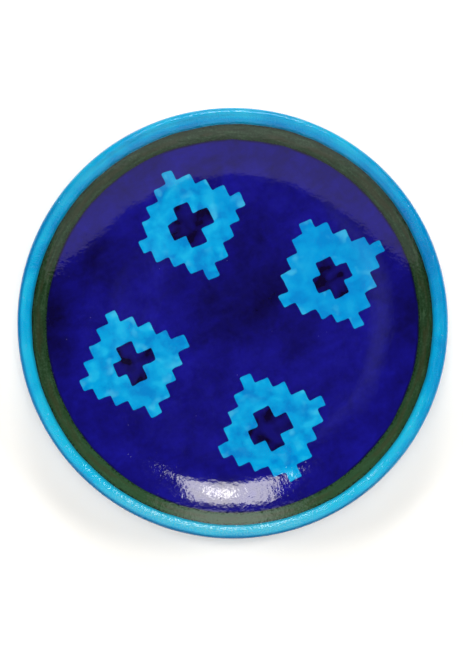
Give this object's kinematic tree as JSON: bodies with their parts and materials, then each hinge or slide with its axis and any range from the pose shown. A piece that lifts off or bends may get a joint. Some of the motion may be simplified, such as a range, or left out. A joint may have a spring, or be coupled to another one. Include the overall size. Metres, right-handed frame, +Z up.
{
  "type": "hand painted ceramic plate",
  "caption": "Round shallow ceramic plate on a foot ring, with a turquoise lip, a dark green ring and stepped turquoise diamonds with dark crosses on a cobalt blue ground.",
  "frame": {"origin": "centre of the foot ring on the table, which is the bottom centre of the bounding box", "axes": "+Z up along the plate's own axis, out of the dish; +Y towards the top of the pattern, +X towards its right"},
  "size_m": [0.25, 0.25, 0.028],
  "materials": {
    "clay_body": "fired buff clay, matte",
    "foot_clay": "fired buff clay, bare and matte where it stands",
    "white_slip": "fired white slip, matte under the glaze",
    "back_turquoise": "glossy turquoise glaze, brushed on",
    "rim_turquoise": "glossy turquoise glaze, darker where it runs off the lip",
    "dark_green": "glossy dark olive green, speckled",
    "cobalt_blue": "glossy cobalt blue in uneven brush washes",
    "motif_turquoise": "glossy turquoise in mottled washes",
    "dark_indigo": "glossy near-black indigo"
  },
  "bodies": {
    "root": {"plate_body": "clay_body", "foot_ring": "foot_clay", "slip_coat": "white_slip", "back_glaze": "back_turquoise", "base_glaze": "back_turquoise", "rim_band": "rim_turquoise", "green_band": "dark_green", "cobalt_ground": "cobalt_blue", "diamond_top": "motif_turquoise", "diamond_right": "motif_turquoise", "diamond_bottom": "motif_turquoise", "diamond_left": "motif_turquoise", "cross_top": "dark_indigo", "cross_right": "dark_indigo", "cross_bottom": "dark_indigo", "cross_left": "dark_indigo"}
  },
  "joints": []
}
